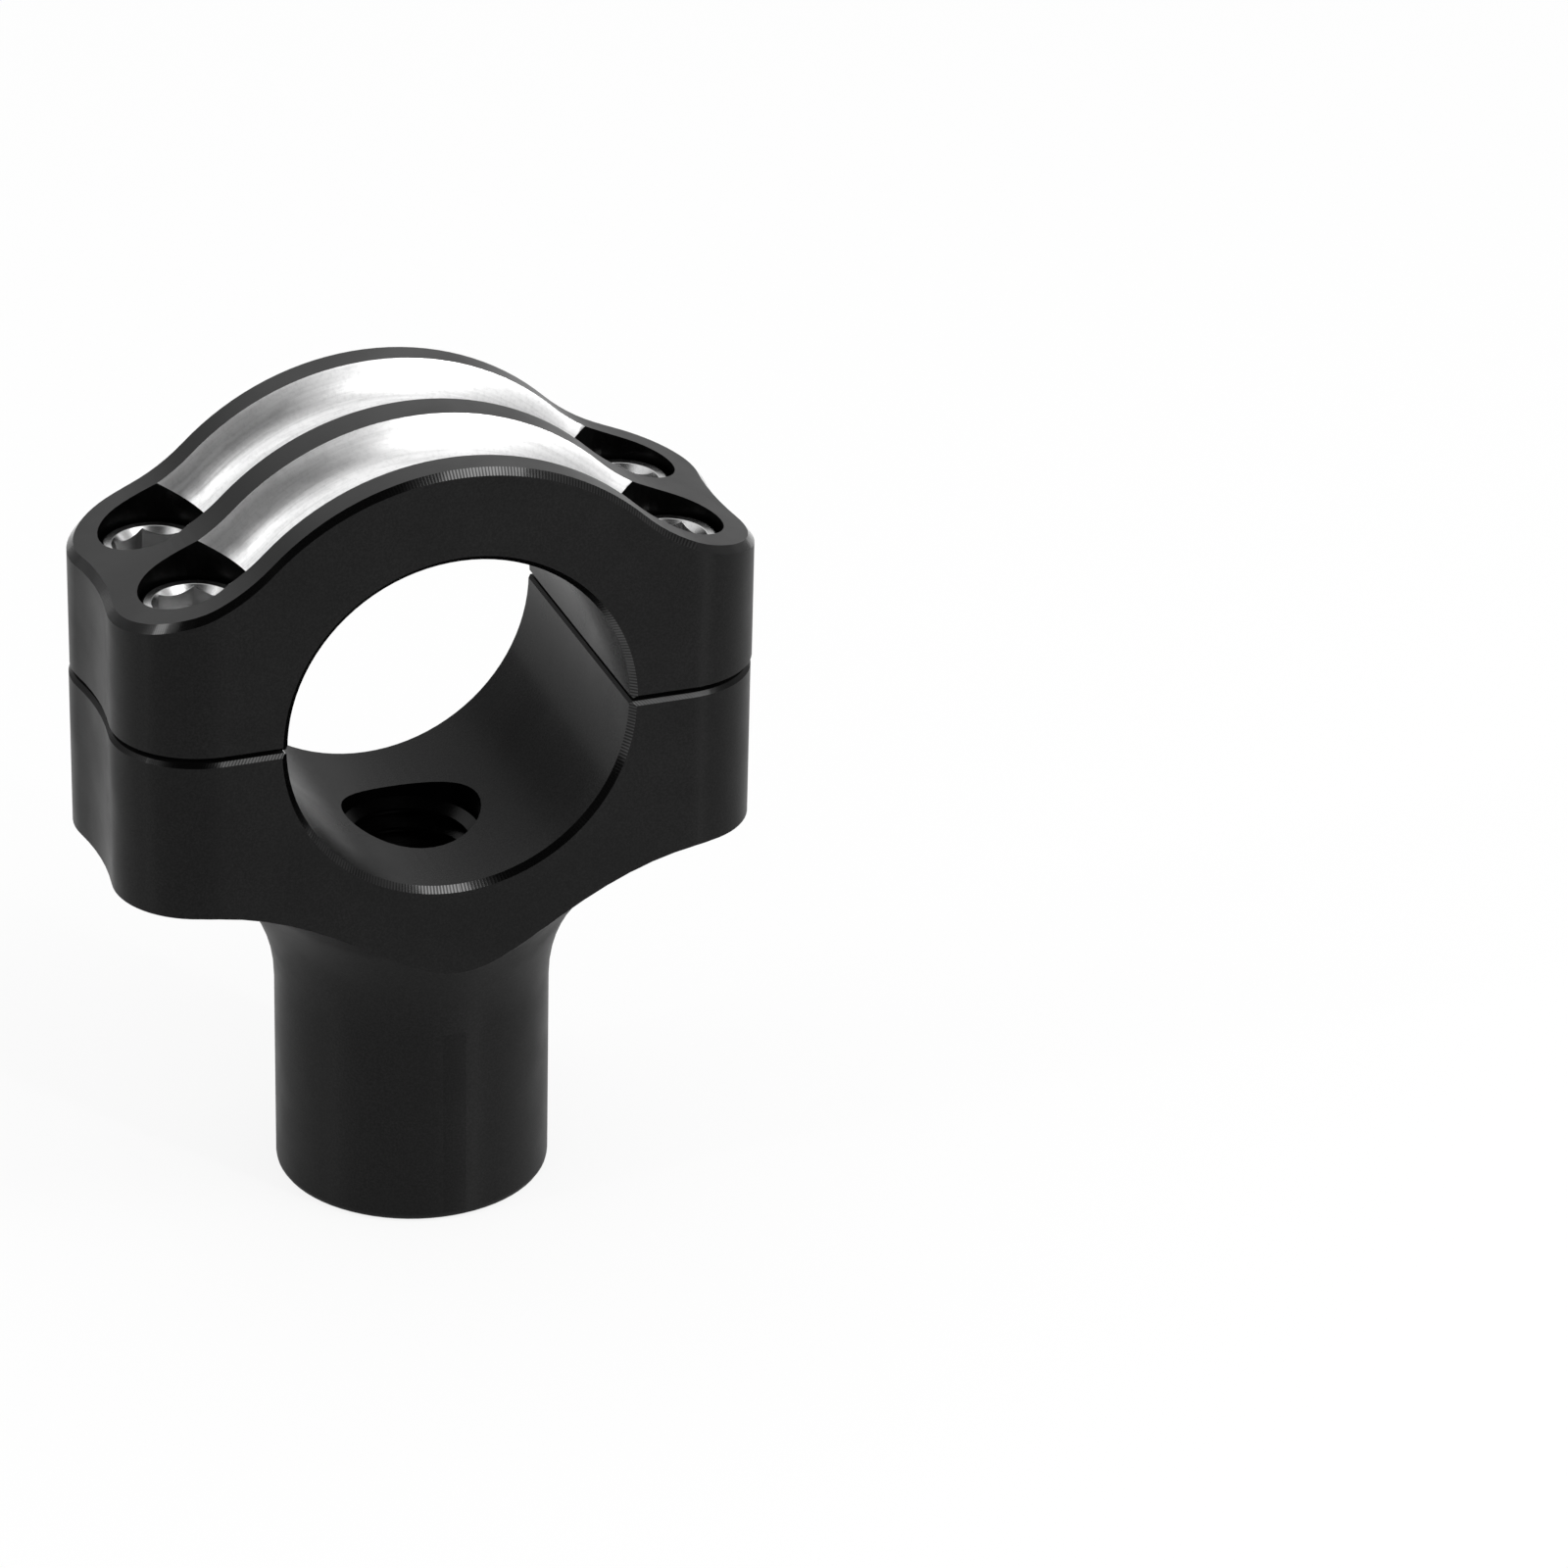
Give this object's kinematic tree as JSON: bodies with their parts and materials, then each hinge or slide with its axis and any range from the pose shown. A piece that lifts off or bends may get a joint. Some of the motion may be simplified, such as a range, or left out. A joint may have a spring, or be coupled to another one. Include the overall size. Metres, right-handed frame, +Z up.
{
  "type": "handlebar riser",
  "caption": "Black handlebar riser: a round post flaring into a clamp block, with a grooved bolt-down cap over the bar bore.",
  "frame": {"origin": "centre of the post's foot, on the face that rests on the fork clamp", "axes": "+Z up the post to the bar, +Y along the handlebar towards the back of the picture, +X across the bar to the right"},
  "size_m": [0.0593, 0.0286, 0.0758],
  "materials": {
    "black_anodised": "black anodised with bright machined grooves in the cap",
    "screw_steel": "polished socket-head screw"
  },
  "bodies": {
    "root": {"riser_body": "black_anodised", "top_cap": "black_anodised", "screw_left_front": "screw_steel", "screw_left_back": "screw_steel", "screw_right_front": "screw_steel", "screw_right_back": "screw_steel"}
  },
  "joints": []
}
